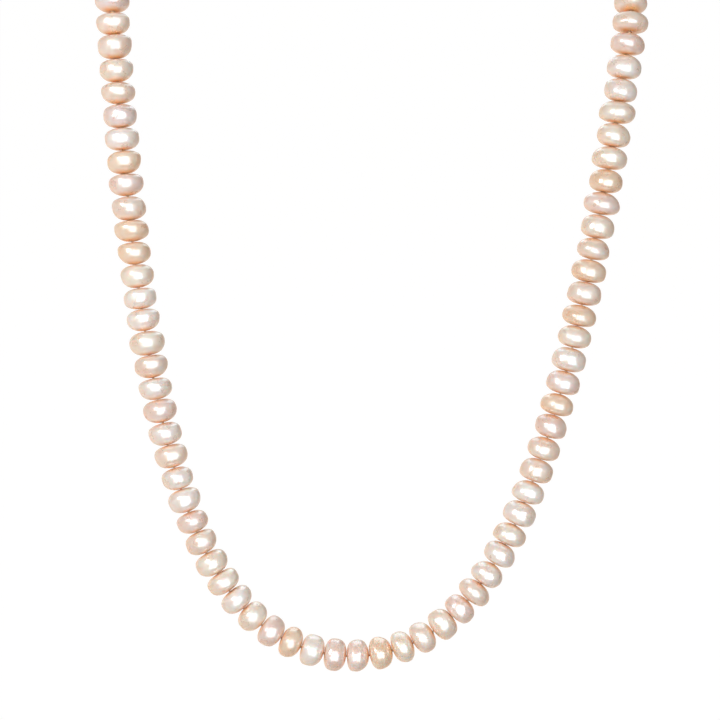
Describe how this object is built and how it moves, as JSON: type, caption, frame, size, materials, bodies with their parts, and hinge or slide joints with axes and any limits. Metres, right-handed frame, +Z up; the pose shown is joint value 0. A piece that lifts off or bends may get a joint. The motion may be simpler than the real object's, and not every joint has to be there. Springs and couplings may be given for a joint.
{
  "type": "pearl necklace",
  "caption": "Single strand of button-shaped freshwater pearls on silk, hanging as worn, with bead tips and a sprung lobster clasp at the nape.",
  "frame": {"origin": "middle of the clasp, where the strand rests on the nape of the neck", "axes": "+Z up, the wearer faces -Y, +X to the wearer's left and to a viewer's right"},
  "size_m": [0.1053, 0.0508, 0.1624],
  "materials": {
    "nacre": "lustrous nacre, pale peach to rose and cream",
    "silk": "twisted silk thread",
    "gold": "polished gold plating",
    "spring_steel": "spring steel"
  },
  "bodies": {
    "neck": {"neck_left_pearls": "nacre", "neck_right_pearls": "nacre", "neck_left_thread": "silk", "neck_right_thread": "silk", "left_knot": "silk", "right_knot": "silk", "left_bead_tip": "gold", "right_bead_tip": "gold"},
    "link_01": {"left_pearls_01": "nacre", "right_pearls_01": "nacre", "thread_01": "silk"},
    "link_02": {"left_pearls_02": "nacre", "right_pearls_02": "nacre", "thread_02": "silk"},
    "link_03": {"left_pearls_03": "nacre", "right_pearls_03": "nacre", "thread_03": "silk"},
    "link_04": {"left_pearls_04": "nacre", "right_pearls_04": "nacre", "thread_04": "silk"},
    "link_05": {"left_pearls_05": "nacre", "right_pearls_05": "nacre", "thread_05": "silk"},
    "link_06": {"left_pearls_06": "nacre", "right_pearls_06": "nacre", "thread_06": "silk"},
    "link_07": {"left_pearls_07": "nacre", "right_pearls_07": "nacre", "thread_07": "silk"},
    "link_08": {"left_pearls_08": "nacre", "right_pearls_08": "nacre", "thread_08": "silk"},
    "link_09": {"left_pearls_09": "nacre", "right_pearls_09": "nacre", "thread_09": "silk"},
    "link_10": {"left_pearls_10": "nacre", "right_pearls_10": "nacre", "thread_10": "silk"},
    "link_11": {"left_pearls_11": "nacre", "right_pearls_11": "nacre", "thread_11": "silk"},
    "link_12": {"left_pearls_12": "nacre", "right_pearls_12": "nacre", "thread_12": "silk"},
    "link_13": {"left_pearls_13": "nacre", "right_pearls_13": "nacre", "thread_13": "silk"},
    "link_14": {"left_pearls_14": "nacre", "right_pearls_14": "nacre", "thread_14": "silk"},
    "bottom": {"bottom_pearls": "nacre", "bottom_thread": "silk"},
    "jump_ring": {"jump_ring": "gold"},
    "lobster": {"lobster_body": "gold", "lobster_rivet": "gold", "lobster_spring": "spring_steel"},
    "lever": {"lobster_lever": "gold"},
    "end_ring": {"end_ring": "gold"}
  },
  "joints": [
    {"name": "link_01_bend", "type": "hinge", "parent": "neck", "child": "link_01", "pos_m": [0, -0.044, -0.036], "axis": [1, 0, 0], "range_deg": [-12, 12]},
    {"name": "link_02_bend", "type": "hinge", "parent": "link_01", "child": "link_02", "pos_m": [0, -0.044, -0.04483], "axis": [1, 0, 0], "range_deg": [-12, 12]},
    {"name": "link_03_bend", "type": "hinge", "parent": "link_02", "child": "link_03", "pos_m": [0, -0.044, -0.05335], "axis": [1, 0, 0], "range_deg": [-12, 12]},
    {"name": "link_04_bend", "type": "hinge", "parent": "link_03", "child": "link_04", "pos_m": [0, -0.044, -0.06213], "axis": [1, 0, 0], "range_deg": [-12, 12]},
    {"name": "link_05_bend", "type": "hinge", "parent": "link_04", "child": "link_05", "pos_m": [0, -0.044, -0.07078], "axis": [1, 0, 0], "range_deg": [-12, 12]},
    {"name": "link_06_bend", "type": "hinge", "parent": "link_05", "child": "link_06", "pos_m": [0, -0.044, -0.07938], "axis": [1, 0, 0], "range_deg": [-12, 12]},
    {"name": "link_07_bend", "type": "hinge", "parent": "link_06", "child": "link_07", "pos_m": [0, -0.044, -0.08808], "axis": [1, 0, 0], "range_deg": [-12, 12]},
    {"name": "link_08_bend", "type": "hinge", "parent": "link_07", "child": "link_08", "pos_m": [0, -0.044, -0.09624], "axis": [1, 0, 0], "range_deg": [-12, 12]},
    {"name": "link_09_bend", "type": "hinge", "parent": "link_08", "child": "link_09", "pos_m": [0, -0.044, -0.10508], "axis": [1, 0, 0], "range_deg": [-12, 12]},
    {"name": "link_10_bend", "type": "hinge", "parent": "link_09", "child": "link_10", "pos_m": [0, -0.044, -0.11349], "axis": [1, 0, 0], "range_deg": [-12, 12]},
    {"name": "link_11_bend", "type": "hinge", "parent": "link_10", "child": "link_11", "pos_m": [0, -0.044, -0.12191], "axis": [1, 0, 0], "range_deg": [-12, 12]},
    {"name": "link_12_bend", "type": "hinge", "parent": "link_11", "child": "link_12", "pos_m": [0, -0.044, -0.13021], "axis": [1, 0, 0], "range_deg": [-12, 12]},
    {"name": "link_13_bend", "type": "hinge", "parent": "link_12", "child": "link_13", "pos_m": [0, -0.044, -0.13787], "axis": [1, 0, 0], "range_deg": [-12, 12]},
    {"name": "link_14_bend", "type": "hinge", "parent": "link_13", "child": "link_14", "pos_m": [0, -0.044, -0.14496], "axis": [1, 0, 0], "range_deg": [-12, 12]},
    {"name": "bottom_bend", "type": "hinge", "parent": "link_14", "child": "bottom", "pos_m": [0, -0.044, -0.15113], "axis": [1, 0, 0], "range_deg": [-12, 12]},
    {"name": "jump_ring_swing", "type": "hinge", "parent": "neck", "child": "jump_ring", "pos_m": [0.008, 0, 0], "axis": [0, 1, 0], "range_deg": [-1.5, 1.5]},
    {"name": "lobster_swing", "type": "hinge", "parent": "jump_ring", "child": "lobster", "pos_m": [0.00505, 0, 0], "axis": [0, 0, -1], "range_deg": [-4, 3]},
    {"name": "lever_open", "type": "hinge", "parent": "lobster", "child": "lever", "pos_m": [0.0014, 0.00045, 0], "axis": [0, 0, 1], "range_deg": [0, 11], "stiffness_Nm_per_rad": 0.002, "springref_deg": -9.74, "deforming": ["lobster_spring"]},
    {"name": "end_ring_swing", "type": "hinge", "parent": "neck", "child": "end_ring", "pos_m": [-0.008, 0, 0], "axis": [0, -1, 0], "range_deg": [-5, 5]}
  ]
}
